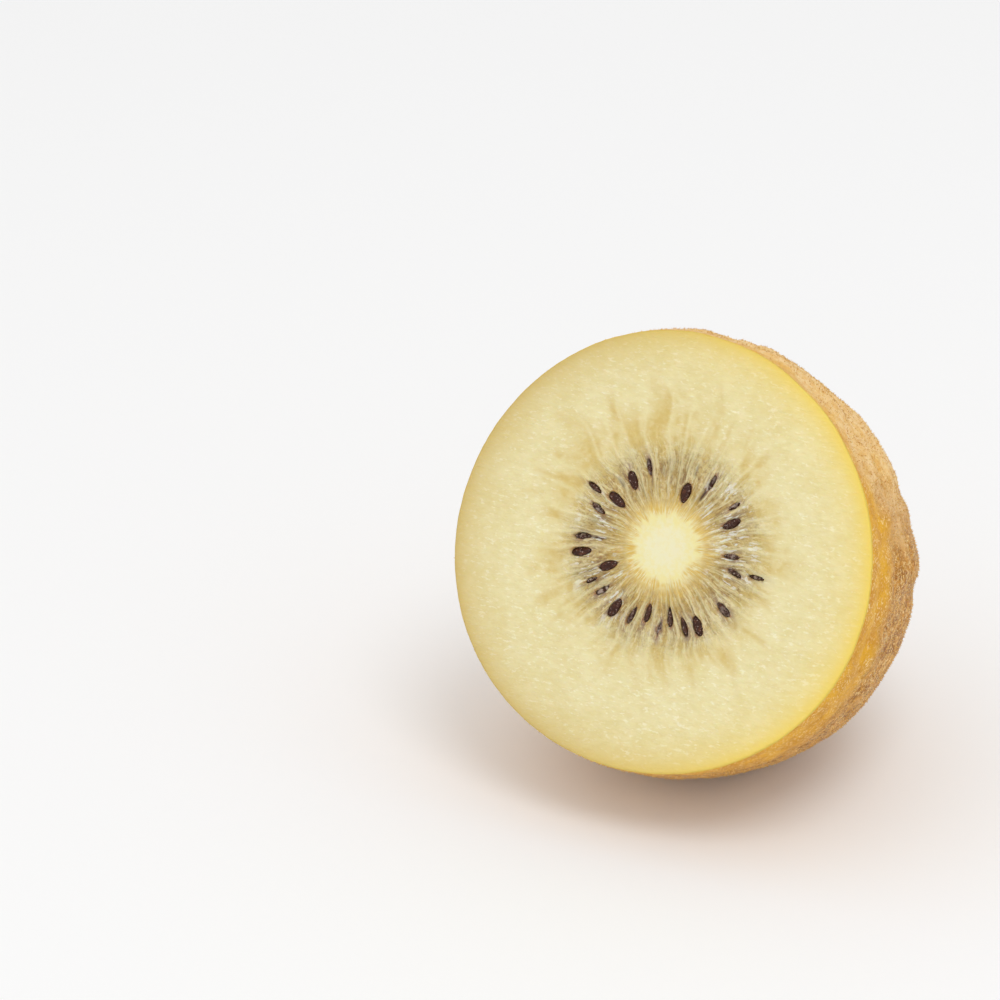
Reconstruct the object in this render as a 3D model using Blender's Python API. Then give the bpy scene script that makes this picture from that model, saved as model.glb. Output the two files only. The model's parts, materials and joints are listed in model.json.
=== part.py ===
"""Cut half of a golden kiwi fruit, lying on a small flat spot of its side.

The fruit is modelled in its own frame, an empty named fruit_frame: the cut is the
plane z = 0, +Z points out of the cut, and the flesh reaches down to the blossom end.
The empty tips that frame over, so that the fruit lies on its side with the cut
looking forwards (-Y) and a little up. Units are metres, and the world's +Z is up.
"""

import math

import bmesh
import bpy
from mathutils import Matrix, Vector

MM = 0.001

# Fruit
FRUIT_RADIUS = 26.0 * MM        # at its widest section
WIDEST_DEPTH = 7.5 * MM         # how far behind the cut that section is
END_LENGTH = 33.8 * MM          # from the widest section to the blossom end
FULLNESS = 2.3                  # exponent of the long outline; 2 would be an ellipse
LEAN = 0.05                     # how far the core drifts to -Y for each unit of depth
LOBES = 3                       # faint swellings around the fruit
LOBE_HEIGHT = 0.007             # as a share of the radius
LOBE_BEARING = math.radians(95)  # of the first swelling
FRUIT_SIDES = 64
RINGS_ABOVE_WIDEST = 4          # between the cut and the widest section
RINGS_BELOW_WIDEST = 16         # between the widest section and the blossom end

# How it lies
CUT_ELEVATION = math.radians(26)  # of the direction in which the cut looks
FLAT_SPOT_DEPTH = 0.6 * MM      # flesh pressed flat where the fruit rests

# Core and seeds
CORE_CENTRE = Vector((0.4 * MM, 0.7 * MM, 0.0))
SEED_LENGTH = 2.4 * MM
SEED_WIDTH = 1.25 * MM
SEED_THICKNESS = 0.85 * MM
SEED_TAPER = 0.25               # how much narrower the end at the core is
SEED_SIDES = 10
SEED_RINGS = 6
POCKET_GAP = 0.3 * MM           # between a seed and the flesh round it
POCKET_RISE = 1.5 * MM          # how far a pocket's cutter is drawn up through the cut

# Each seed: bearing round the core (degrees), distance from the core's centre (mm),
# twist from the radial direction (degrees), roll about its length (degrees; 0 lies
# flat in the cut, 90 stands on edge), size against the standard seed, and depth of
# its top below the cut (mm).
SEEDS = (
    (4, 8.1, 0, 75, 0.88, 0.20),
    (30, 8.5, 4, 40, 1.00, 0.05),
    (41, 9.6, 2, 80, 0.75, 0.25),
    (64, 9.4, 7, 85, 0.82, 0.15),
    (80, 6.8, 2, 15, 1.02, 0.05),
    (113, 9.6, -3, 75, 0.85, 0.15),
    (128, 8.8, -9, 10, 0.96, 0.05),
    (148, 8.2, 0, 10, 1.03, 0.05),
    (152, 11.2, 0, 65, 0.88, 0.10),
    (162, 9.5, -9, 70, 0.88, 0.20),
    (183, 10.3, 4, 65, 0.92, 0.20),
    (193, 10.4, 3, 30, 1.04, 0.05),
    (207, 7.3, -2, 5, 0.97, 0.05),
    (213, 9.8, -4, 80, 0.75, 0.25),
    (223, 9.1, -3, 85, 0.95, 0.25),
    (239, 9.3, 3, 10, 1.05, 0.05),
    (253, 8.8, -3, 80, 0.95, 0.15),
    (265, 7.8, -2, 60, 0.93, 0.10),
    (276, 9.4, -9, 85, 0.70, 0.30),
    (285, 8.0, -4, 75, 1.00, 0.10),
    (295, 9.4, 1, 70, 0.98, 0.10),
    (305, 9.8, -7, 5, 1.03, 0.05),
    (326, 10.0, -2, 30, 0.92, 0.15),
    (352, 8.9, -12, 65, 0.80, 0.15),
    (354, 11.6, 4, 75, 0.78, 0.20),
)

# Dried styles: the dark star left by the flower at the blossom end
STYLE_ARMS = (5.2, 3.6, 4.6, 3.1, 5.0, 3.8, 4.2, 3.3, 4.8)  # length of each arm, mm
STYLE_DISC_RADIUS = 1.3 * MM
STYLE_ROOT_WIDTH = 0.9 * MM     # of an arm, where it leaves the disc
STYLE_TIP_WIDTH = 0.5 * MM
STYLE_THICKNESS = 0.5 * MM
STYLE_GAP = 0.3 * MM            # between the star and the skin
STYLE_ARM_STEPS = 4

# Colours (linear)
SKIN_COLOUR = (0.56, 0.33, 0.11, 1.0)
FLESH_COLOUR = (0.80, 0.68, 0.26, 1.0)
SEED_COLOUR = (0.055, 0.025, 0.015, 1.0)
STYLE_COLOUR = (0.10, 0.055, 0.03, 1.0)


def clear_scene():
    for thing in list(bpy.data.objects):
        bpy.data.objects.remove(thing, do_unlink=True)


def principled(name, colour, roughness):
    """A Principled material of one colour."""
    material = bpy.data.materials.new(name)
    material.use_nodes = True
    shader = material.node_tree.nodes["Principled BSDF"]
    shader.inputs["Base Color"].default_value = colour
    shader.inputs["Roughness"].default_value = roughness
    shader.inputs["Metallic"].default_value = 0.0
    return material


def new_object(name, mesh_maker, materials, parent):
    """An object under parent, whose bmesh is filled by mesh_maker."""
    solid = bmesh.new()
    mesh_maker(solid)
    bmesh.ops.recalc_face_normals(solid, faces=solid.faces)
    mesh = bpy.data.meshes.new(name)
    solid.to_mesh(mesh)
    solid.free()
    for material in materials:
        mesh.materials.append(material)
    mesh.shade_smooth()
    mesh.set_sharp_from_angle(angle=math.radians(40))
    thing = bpy.data.objects.new(name, mesh)
    bpy.context.scene.collection.objects.link(thing)
    thing.parent = parent
    return thing


def fruit_radius(depth):
    """The fruit's mean radius at a depth below the cut."""
    along = abs(depth - WIDEST_DEPTH) / END_LENGTH
    return FRUIT_RADIUS * max(0.0, 1.0 - along ** FULLNESS) ** (1.0 / FULLNESS)


def fruit_depth(radius):
    """The depth at which the blossom end has this mean radius."""
    across = radius / FRUIT_RADIUS
    along = (1.0 - across ** FULLNESS) ** (1.0 / FULLNESS)
    return WIDEST_DEPTH + END_LENGTH * along


def shaped(point):
    """Moves a point of the turned fruit to its place on the lobed, leaning one."""
    bearing = math.atan2(point.y, point.x)
    swell = 1.0 + LOBE_HEIGHT * math.cos(LOBES * (bearing - LOBE_BEARING))
    return Vector((point.x * swell, point.y * swell + LEAN * point.z, point.z))


def lying_down():
    """The turn that lays the fruit on its side, with the cut looking forwards."""
    return Matrix.Rotation(math.pi / 2 - CUT_ELEVATION, 4, "X")


def make_fruit(solid):
    """Turns the long outline, shapes it and cuts off the flat spot."""
    depths = [WIDEST_DEPTH * step / RINGS_ABOVE_WIDEST for step in range(RINGS_ABOVE_WIDEST)]
    for step in range(RINGS_BELOW_WIDEST):
        turn = 0.5 * math.pi * step / RINGS_BELOW_WIDEST
        depths.append(WIDEST_DEPTH + END_LENGTH * math.sin(turn))
    profile = [solid.verts.new((fruit_radius(depth), 0.0, -depth)) for depth in depths]
    profile.append(solid.verts.new((0.0, 0.0, -WIDEST_DEPTH - END_LENGTH)))
    edges = [solid.edges.new(pair) for pair in zip(profile, profile[1:])]
    bmesh.ops.spin(
        solid,
        geom=profile + edges,
        cent=(0.0, 0.0, 0.0),
        axis=(0.0, 0.0, 1.0),
        angle=2.0 * math.pi,
        steps=FRUIT_SIDES,
    )
    bmesh.ops.remove_doubles(solid, verts=solid.verts, dist=0.00001)
    for vertex in solid.verts:
        vertex.co = shaped(vertex.co)
    rim = [edge for edge in solid.edges if edge.is_boundary]
    cut = bmesh.ops.edgeloop_fill(solid, edges=rim)
    for face in cut["faces"]:
        face.material_index = 1
    press_flat_spot(solid)


def press_flat_spot(solid):
    """Cuts the fruit level where it rests, FLAT_SPOT_DEPTH above its lowest point."""
    turn = lying_down()
    lowest = min((turn @ vertex.co).z for vertex in solid.verts)
    level = Vector((0.0, 0.0, lowest + FLAT_SPOT_DEPTH))
    bmesh.ops.bisect_plane(
        solid,
        geom=solid.verts[:] + solid.edges[:] + solid.faces[:],
        plane_co=turn.inverted() @ level,
        plane_no=turn.inverted().to_3x3() @ Vector((0.0, 0.0, -1.0)),
        clear_outer=True,
    )
    rim = [edge for edge in solid.edges if edge.is_boundary]
    bmesh.ops.edgeloop_fill(solid, edges=rim)


def seed_points(size, gap):
    """Points of a seed along X, its narrow end at -X, grown outwards by gap."""
    shape = bmesh.new()
    bmesh.ops.create_uvsphere(shape, u_segments=SEED_SIDES, v_segments=SEED_RINGS, radius=1.0)
    turn = Matrix.Rotation(math.pi / 2, 3, "Y")
    points = []
    for vertex in shape.verts:
        unit = turn @ vertex.co
        narrowing = 1.0 + SEED_TAPER * unit.x
        points.append(Vector((
            unit.x * (0.5 * SEED_LENGTH * size + gap),
            unit.y * (0.5 * SEED_WIDTH * size * narrowing + gap),
            unit.z * (0.5 * SEED_THICKNESS * size * narrowing + gap),
        )))
    shape.free()
    return points


def seed_place(row):
    """The turn of a seed in the fruit's frame, and its place with its top in the cut."""
    bearing, distance, twist, roll, size, sunk = row
    bearing = math.radians(bearing)
    turn = Matrix.Rotation(bearing + math.radians(twist), 3, "Z")
    turn = turn @ Matrix.Rotation(math.radians(roll), 3, "X")
    top = max((turn @ point).z for point in seed_points(size, 0.0))
    place = CORE_CENTRE + distance * MM * Vector((math.cos(bearing), math.sin(bearing), 0.0))
    place.z = -top - sunk * MM
    return turn, place


def hull(solid, points):
    """Adds the convex hull of some points."""
    corners = [solid.verts.new(point) for point in points]
    result = bmesh.ops.convex_hull(solid, input=corners)
    spare = {thing for thing in result["geom_interior"] if isinstance(thing, bmesh.types.BMVert)}
    bmesh.ops.delete(solid, geom=list(spare), context="VERTS")


def make_pockets(solid):
    """The space round each seed, drawn up through the cut so that it stays open."""
    rise = Vector((0.0, 0.0, POCKET_RISE))
    for row in SEEDS:
        turn, place = seed_place(row)
        low = [place + turn @ point for point in seed_points(row[4], POCKET_GAP)]
        hull(solid, low + [point + rise for point in low])


def cut_pockets(fruit, frame):
    cutter = new_object("pocket_cutter", make_pockets, [], frame)
    cutter.hide_render = True
    cutter.display_type = "WIRE"
    boolean = fruit.modifiers.new("seed_pockets", "BOOLEAN")
    boolean.operation = "DIFFERENCE"
    boolean.solver = "EXACT"
    boolean.object = cutter


def add_seeds(frame, material):
    for index, row in enumerate(SEEDS):
        points = seed_points(row[4], 0.0)
        seed = new_object(
            f"seed_{index + 1:02d}",
            lambda solid, points=points: hull(solid, points),
            [material],
            frame,
        )
        turn, place = seed_place(row)
        seed.rotation_euler = turn.to_euler()
        seed.location = place


def on_blossom_end(radius, bearing):
    """A point STYLE_GAP outside the skin at the blossom end."""
    turned = Vector((
        radius * math.cos(bearing),
        radius * math.sin(bearing),
        -fruit_depth(radius),
    ))
    point = shaped(turned)
    point.z -= STYLE_GAP
    return point


def make_star(solid):
    """A disc with narrow arms, as one sheet that follows the blossom end."""
    centre = solid.verts.new(on_blossom_end(0.0, 0.0))
    count = len(STYLE_ARMS)
    half_root = 0.5 * STYLE_ROOT_WIDTH / STYLE_DISC_RADIUS
    rim = []
    for index, length in enumerate(STYLE_ARMS):
        bearing = 2.0 * math.pi * index / count
        sides = [
            solid.verts.new(on_blossom_end(STYLE_DISC_RADIUS, bearing - half_root)),
            solid.verts.new(on_blossom_end(STYLE_DISC_RADIUS, bearing + half_root)),
        ]
        rim.extend(sides)
        for step in range(1, STYLE_ARM_STEPS + 1):
            share = step / STYLE_ARM_STEPS
            radius = STYLE_DISC_RADIUS + share * (length * MM - STYLE_DISC_RADIUS)
            width = STYLE_ROOT_WIDTH + share * (STYLE_TIP_WIDTH - STYLE_ROOT_WIDTH)
            half = 0.5 * width / radius
            ahead = [
                solid.verts.new(on_blossom_end(radius, bearing - half)),
                solid.verts.new(on_blossom_end(radius, bearing + half)),
            ]
            solid.faces.new((sides[0], ahead[0], ahead[1], sides[1]))
            sides = ahead
    for first, second in zip(rim, rim[1:] + rim[:1]):
        solid.faces.new((centre, first, second))


def add_styles(frame, material):
    star = new_object("dried_styles", make_star, [material], frame)
    if star.data.polygons[0].normal.z > 0.0:
        star.data.flip_normals()
    solidify = star.modifiers.new("thickness", "SOLIDIFY")
    solidify.thickness = STYLE_THICKNESS
    solidify.offset = 1.0


def settle(frame):
    """Lays the fruit down with the middle of its box's bottom at the origin."""
    frame.rotation_euler = lying_down().to_euler()
    bpy.context.view_layer.update()
    depsgraph = bpy.context.evaluated_depsgraph_get()
    corners = []
    for thing in frame.children:
        if thing.hide_render:
            continue
        evaluated = thing.evaluated_get(depsgraph)
        corners.extend(evaluated.matrix_world @ vertex.co for vertex in evaluated.data.vertices)
    low = [min(corner[axis] for corner in corners) for axis in range(3)]
    high = [max(corner[axis] for corner in corners) for axis in range(3)]
    frame.location = (-0.5 * (low[0] + high[0]), -0.5 * (low[1] + high[1]), -low[2])


def main():
    clear_scene()
    frame = bpy.data.objects.new("fruit_frame", None)
    bpy.context.scene.collection.objects.link(frame)
    skin = principled("skin", SKIN_COLOUR, 0.85)
    flesh = principled("flesh", FLESH_COLOUR, 0.35)
    fruit = new_object("fruit_half", make_fruit, [skin, flesh], frame)
    cut_pockets(fruit, frame)
    add_seeds(frame, principled("seed", SEED_COLOUR, 0.3))
    add_styles(frame, principled("dried_styles", STYLE_COLOUR, 0.9))
    settle(frame)


main()
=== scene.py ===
import json
import math

import bpy
import numpy as np
from mathutils import Matrix, Vector


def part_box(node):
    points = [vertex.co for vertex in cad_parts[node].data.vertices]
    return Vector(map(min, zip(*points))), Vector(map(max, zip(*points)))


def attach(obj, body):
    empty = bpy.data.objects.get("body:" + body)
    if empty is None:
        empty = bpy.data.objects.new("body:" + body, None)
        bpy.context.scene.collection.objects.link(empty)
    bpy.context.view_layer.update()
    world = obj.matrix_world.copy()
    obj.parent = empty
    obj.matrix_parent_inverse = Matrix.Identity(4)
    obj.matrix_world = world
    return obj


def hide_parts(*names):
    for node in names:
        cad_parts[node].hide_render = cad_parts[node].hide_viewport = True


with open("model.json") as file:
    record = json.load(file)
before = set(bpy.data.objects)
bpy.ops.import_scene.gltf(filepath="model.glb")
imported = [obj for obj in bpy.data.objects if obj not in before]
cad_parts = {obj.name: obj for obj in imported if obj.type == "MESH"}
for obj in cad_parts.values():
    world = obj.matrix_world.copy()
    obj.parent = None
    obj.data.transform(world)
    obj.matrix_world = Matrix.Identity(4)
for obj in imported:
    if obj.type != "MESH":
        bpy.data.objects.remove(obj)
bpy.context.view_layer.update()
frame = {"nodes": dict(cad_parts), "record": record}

# Half a golden kiwi fruit. Shapes are worked out in millimetres in the fruit's own
# frame: the middle of the core is the origin, the cut is z = 0 and +Z leaves the cut.
mm = 0.001


def fruitFrameFromCut():
    cut = next(mount for mount in frame["record"]["mounts"] if mount["name"] == "cut_face")
    outward = Vector(cut["axis"]).normalized()
    sideways = Vector((1.0, 0.0, 0.0))
    upward = outward.cross(sideways).normalized()
    turn = Matrix((sideways, upward, outward)).transposed()
    return Matrix.Translation(cut["pos_m"]) @ turn.to_4x4()


fruitFrame = fruitFrameFromCut()
print("frame ready")


def latticeValue(ix, iy, iz, seed):
    # a value from 0 to 1 that looks random and is always the same for a corner and seed
    mixed = (ix * 374761393 + iy * 668265263 + iz * 1442695041 + seed * 97531) & 0xFFFFFFFF
    mixed = ((mixed ^ (mixed >> 13)) * 1274126177) & 0xFFFFFFFF
    mixed = ((mixed ^ (mixed >> 15)) * 668265263) & 0xFFFFFFFF
    return (mixed ^ (mixed >> 16)) / 4294967295.0


def cloud(points, size, seed, layers=1):
    # smooth lumps from -1 to 1, about size across; each layer adds lumps half as big
    total = np.zeros(points.shape[:-1])
    weight = 0.0
    for layer in range(layers):
        place = points / (size / 2 ** layer) + 17.3 * (layer + 1)
        corner = np.floor(place).astype(np.int64)
        part = place - corner
        part = part * part * (3.0 - 2.0 * part)
        value = 0.0
        for dx in (0, 1):
            for dy in (0, 1):
                for dz in (0, 1):
                    share = np.abs(1 - dx - part[..., 0])
                    share = share * np.abs(1 - dy - part[..., 1])
                    share = share * np.abs(1 - dz - part[..., 2])
                    value = value + share * latticeValue(
                        corner[..., 0] + dx, corner[..., 1] + dy, corner[..., 2] + dz, seed + layer)
        total += (2.0 * value - 1.0) / 2 ** layer
        weight += 1.0 / 2 ** layer
    return total / weight


def rayCloud(bearing, distance, around, length, seed):
    # lumps drawn out along the radius: so many round the core, each about length long
    ring = around / (2.0 * math.pi)
    points = np.stack((ring * np.cos(bearing), ring * np.sin(bearing), distance / length), -1)
    return cloud(points, 1.0, seed)


def ease(low, high, value):
    # smooth step from 0 to 1 while value goes from low to high
    share = np.clip((value - low) / (high - low), 0.0, 1.0)
    return share * share * (3.0 - 2.0 * share)


def meshObject(name, points, faces, material, marks=None):
    # points in millimetres in the fruit's frame; marks are named values, one for each point
    turn = np.array(fruitFrame.to_3x3())
    points = points * mm @ turn.T + np.array(fruitFrame.translation)
    mesh = bpy.data.meshes.new(name)
    mesh.from_pydata(points.tolist(), [], faces)
    mesh.materials.append(material)
    for markName, values in (marks or {}).items():
        layer = mesh.attributes.new(markName, "FLOAT", "POINT")
        layer.data.foreach_set("value", values.astype(np.float32))
    mesh.shade_smooth()
    mesh.update()
    thing = bpy.data.objects.new(name, mesh)
    bpy.context.scene.collection.objects.link(thing)
    return thing


def ringFaces(rings, spokes, start=0):
    # quads between rings of points that follow each other
    faces = []
    for ring in range(rings - 1):
        a = start + ring * spokes
        b = a + spokes
        for i in range(spokes):
            j = (i + 1) % spokes
            faces.append((a + i, b + i, b + j, a + j))
    return faces


def fanFaces(tip, ring, spokes, outward):
    faces = []
    for i in range(spokes):
        j = (i + 1) % spokes
        faces.append((tip, ring + i, ring + j) if outward else (ring + i, tip, ring + j))
    return faces


def linear(red, green, blue):
    # screen colour, 0 to 255, as the shader wants it
    def channel(value):
        value = value / 255.0
        return value / 12.92 if value <= 0.04045 else ((value + 0.055) / 1.055) ** 2.4
    return (channel(red), channel(green), channel(blue), 1.0)


def tones(settings):
    # the colours among a piece's settings, which are its groups of three whole numbers
    return {key: linear(*value) for key, value in settings.items()
            if isinstance(value, tuple) and len(value) == 3 and isinstance(value[0], int)}


def startMaterial(name):
    material = bpy.data.materials.new(name)
    material.use_nodes = True
    tree = material.node_tree
    return material, tree, tree.nodes["Principled BSDF"]


def addNode(tree, kind, inputs=None, **settings):
    made = tree.nodes.new(kind)
    for key, value in settings.items():
        setattr(made, key, value)
    for key, value in (inputs or {}).items():
        if isinstance(value, bpy.types.NodeSocket):
            tree.links.new(value, made.inputs[key])
        else:
            made.inputs[key].default_value = value
    return made


def sums(tree, operation, first, second=0.0, third=0.0, clamp=False):
    return addNode(tree, "ShaderNodeMath", {0: first, 1: second, 2: third},
                   operation=operation, use_clamp=clamp).outputs[0]


def blendColours(tree, factor, first, second):
    return addNode(tree, "ShaderNodeMix", {0: factor, 6: first, 7: second},
                   data_type="RGBA").outputs[2]


def span(tree, value, low, high, toLow=0.0, toHigh=1.0):
    # smooth step from toLow to toHigh while value goes from low to high
    return addNode(tree, "ShaderNodeMapRange", {0: value, 1: low, 2: high, 3: toLow, 4: toHigh},
                   interpolation_type="SMOOTHSTEP").outputs[0]


def mark(tree, name):
    return addNode(tree, "ShaderNodeAttribute", attribute_name=name).outputs["Fac"]


def grain(tree, place, size, detail=3.0, rough=0.5, stretch=None):
    # noise whose lumps are about size millimetres; stretch squeezes it along an axis
    if stretch:
        place = addNode(tree, "ShaderNodeVectorMath", {0: place, 1: stretch},
                        operation="MULTIPLY").outputs[0]
    return addNode(tree, "ShaderNodeTexNoise",
                   {"Vector": place, "Scale": 1.0 / (size * mm), "Detail": detail,
                    "Roughness": rough}).outputs["Fac"]


def objectPlace(tree):
    return addNode(tree, "ShaderNodeTexCoord").outputs["Object"]


outline = {
    "widestDepth": 7.5,       # of the widest section, behind the cut
    "endLength": 33.8,        # from there to the blossom end
    "fullness": 2.3,
    "lean": 0.05,
    "lobes": 3,
    "lobeHeight": 0.007,
    "lobeBearing": math.radians(95),
    "coreOffset": (0.4, 0.7),
    "lumps": 0.47,            # height and size of the rounded lumps with creases between them
    "lumpSize": 5.2,
    "smallLumps": 0.12,       # as a share of the large ones
    "smallLumpSize": 2.6,
    "lumpBearing": math.radians(42),  # the side where they stand out most
    "calmLumps": 0.22,        # how much of them is left on the other side
    "dents": 0.06,
    "dentSize": 2.2,
    "calmDepth": 4.5,         # the skin gets smoother from here to the cut
    "calmAtCut": 0.15,
}
fruitLow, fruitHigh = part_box("fruit_half")
fruitRadius = 0.5 * (fruitHigh[0] - fruitLow[0]) / mm
endDepth = outline["widestDepth"] + outline["endLength"]


def profileRadius(depth):
    along = np.abs(depth - outline["widestDepth"]) / outline["endLength"]
    power = outline["fullness"]
    return fruitRadius * np.clip(1.0 - along ** power, 0.0, 1.0) ** (1.0 / power)


def evenDepths(count, first=0.0):
    # depths that are evenly spaced along the outline, without the end point itself
    turn = np.linspace(0.0, 0.5 * math.pi, 2000)
    depth = np.concatenate((np.linspace(first, outline["widestDepth"], 400)[:-1],
                            outline["widestDepth"] + outline["endLength"] * np.sin(turn)))
    radius = profileRadius(depth)
    length = np.concatenate(([0.0], np.cumsum(np.hypot(np.diff(depth), np.diff(radius)))))
    return np.interp(np.linspace(0.0, length[-1], count + 1)[:-1], length, depth)


def skinWaves(point, bearing):
    # lumps with creases between them, and shallow dents
    lumps = cloud(point, outline["lumpSize"], 5)
    lumps = np.abs(lumps + outline["smallLumps"] * cloud(point, outline["smallLumpSize"], 6))
    lumpy = ease(0.1, 0.75, np.cos(bearing - outline["lumpBearing"]))
    lumpy = outline["calmLumps"] + (1.0 - outline["calmLumps"]) * lumpy
    lumps = outline["lumps"] * (2.4 * lumps - 0.8) * lumpy
    return lumps + outline["dents"] * cloud(point, outline["dentSize"], 9, 2)


def fruitSurface(depth, bearing, inset=0.0, lift=0.0):
    # place and outward direction of points of the skin, at a depth and a bearing
    depth, bearing = np.broadcast_arrays(depth, bearing)
    radius = profileRadius(depth)
    lobes = np.cos(outline["lobes"] * (bearing - outline["lobeBearing"]))
    swell = 1.0 + outline["lobeHeight"] * lobes
    point = np.stack((radius * swell * np.cos(bearing),
                      radius * swell * np.sin(bearing) - outline["lean"] * depth,
                      -depth), -1)
    power = outline["fullness"] - 1.0
    below = depth - outline["widestDepth"]
    away = (radius / fruitRadius) ** power / fruitRadius
    down = np.sign(below) * (np.abs(below) / outline["endLength"]) ** power / outline["endLength"]
    outward = np.stack((away * np.cos(bearing), away * np.sin(bearing), -down), -1)
    outward /= np.linalg.norm(outward, axis=-1, keepdims=True)
    calm = outline["calmAtCut"]
    waves = skinWaves(point, bearing)
    waves = waves * (calm + (1.0 - calm) * ease(0.0, outline["calmDepth"], depth))
    point = point + outward * (waves - inset + lift)[..., None]
    point = point - np.array((*outline["coreOffset"], 0.0))
    return keepAboveTable(point, inset), outward


def keepAboveTable(point, gap=0.0):
    # flattens what would go below the surface that the fruit lies on
    up = np.array(fruitFrame.to_3x3().inverted() @ Vector((0.0, 0.0, 1.0)))
    height = fruitFrame.translation.z / mm + point @ up
    return point + np.maximum(gap - height, 0.0)[..., None] * up


def seedFacts(name):
    # place, axes and half sizes of a seed, from its own solid
    mesh = frame["nodes"][name].data
    corners = np.array([fruitFrame.inverted() @ (frame["nodes"][name].matrix_world @ v.co)
                        for v in mesh.vertices]) / mm
    corners = np.unique(corners.round(3), axis=0)
    middle = corners.mean(axis=0)
    _, axes = np.linalg.eigh(np.cov((corners - middle).T))
    thin, wide, along = axes[:, 0], axes[:, 1], axes[:, 2]
    if along @ middle < 0.0:
        along = -along
    if wide[2] < 0.0:
        wide = -wide
    thin = np.cross(along, wide)
    reach = (corners - middle) @ np.stack((along, wide, thin), 1)
    middle = middle + np.stack((along, wide, thin), 1) @ (0.5 * (reach.max(0) + reach.min(0)))
    half = 0.5 * (reach.max(0) - reach.min(0))
    return {"name": name, "middle": middle, "axes": np.stack((along, wide, thin), 1),
            "half": half, "sunk": -corners[:, 2].max()}


seeds = [seedFacts(name) for name in sorted(frame["nodes"]) if name.startswith("seed")]
print(len(seeds), "seeds found")


fleshSettings = {
    "spokes": 540,
    "ringSteps": ((4.0, 0.24), (13.5, 0.115), (26.0, 0.21)),  # up to this radius, this far apart
    "sideRings": 12,
    "skinGap": 0.05,          # how far the cut edge stays inside the skin's outline
    "skinThickness": 0.20,
    "hiddenInset": 1.8,       # of the flesh under the skin, away from the cut
    "edgeDepths": (0.07, 0.16, 0.6),  # of the rings that lead round the skin's end to its inside
    "edgeClearance": 0.03,    # between flesh and skin there
    "coreRadius": 3.88,
    "coreTufts": 0.60,        # how far the core's edge runs in and out along the rays
    "coreShift": 0.18,        # how much wider the core is towards coreShiftBearing
    "coreShiftBearing": 0.8,
    "carpels": 36,
    "carpelWander": 0.28,     # how unevenly they stand, as a share of their spacing
    "chamberStart": 4.6,      # from the middle of the core
    "chamberReach": (11.2, 14.4),
    "wallWidth": 0.13,
    "wallHeight": 0.13,
    "juicyReach": 16.4,       # of the tan juicy flesh
    "juicyWander": 1.1,       # what a carpel adds to that or takes from it
    "sink": 0.34,             # how far the wet seed chambers lie below the cut
    "rayRidges": ((90, 2.4, 37, 0.08), (190, 1.3, 33, 0.10)),  # count, length, pattern, height
    "pocketDepth": 0.80,
    "lipHeight": 0.05,
    "buriedSeeds": (          # bearing, distance, length, width, how dark: seen through the flesh
        (64, 7.7, 1.9, 0.34, 1.0), (183, 8.4, 1.8, 0.3, 1.0), (103, 9.3, 2.0, 0.6, 0.4),
        (78, 9.7, 1.6, 0.35, 0.5), (136, 9.4, 1.5, 0.5, 0.5), (278, 8.9, 1.5, 0.35, 0.5),
        (97, 9.5, 2.4, 1.5, 0.2), (170, 8.8, 2.2, 1.3, 0.24), (217, 8.9, 2.0, 1.6, 0.22),
        (205, 10.6, 2.6, 3.0, 0.13),
    ),
    "rayLayers": {            # noise scale, detail, low, high, most, length, fade in, fade out
        "darkRay": (40.0, 4.0, 0.52, 0.62, 0.50, 0.018, (5.8, 8.0), (12.2, 9.5)),
        "lightRay": (30.0, 4.0, 0.53, 0.60, 0.75, 0.018, (4.4, 6.0), (15.0, 10.0)),
        "thread": (74.0, 2.0, 0.53, 0.60, 0.60, 0.012, (4.2, 5.0), (8.0, 6.0)),
        "ember": (60.0, 2.0, 0.63, 0.71, 0.50, 0.030, (5.0, 6.0), (9.0, 7.0)),
    },
    "pale": (239, 229, 180),
    "deep": (229, 215, 155),
    # flecks: painted highlights on the outer flesh
    "fleck": (249, 243, 212),
    # the rim band's colour on the lit side and, as painted shade, on the far side
    "rimYellowLit": (246, 214, 84),
    "rimTanShaded": (210, 182, 102),
    "chamberBeige": (206, 172, 98),
    "chamberTan": (215, 187, 106),
    "lightRay": (243, 229, 176),
    "darkRay": (160, 118, 70),
    "glint": (252, 247, 230),
    "coreCream": (241, 234, 193),
    "coreEdge": (240, 228, 162),
    "fibreGold": (222, 184, 78),
    "thread": (240, 218, 146),
    "ember": (214, 134, 62),
    "haze": (156, 130, 120),
    "orangeRing": (178, 96, 34),
    "seedShadow": (74, 46, 44),
}


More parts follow.
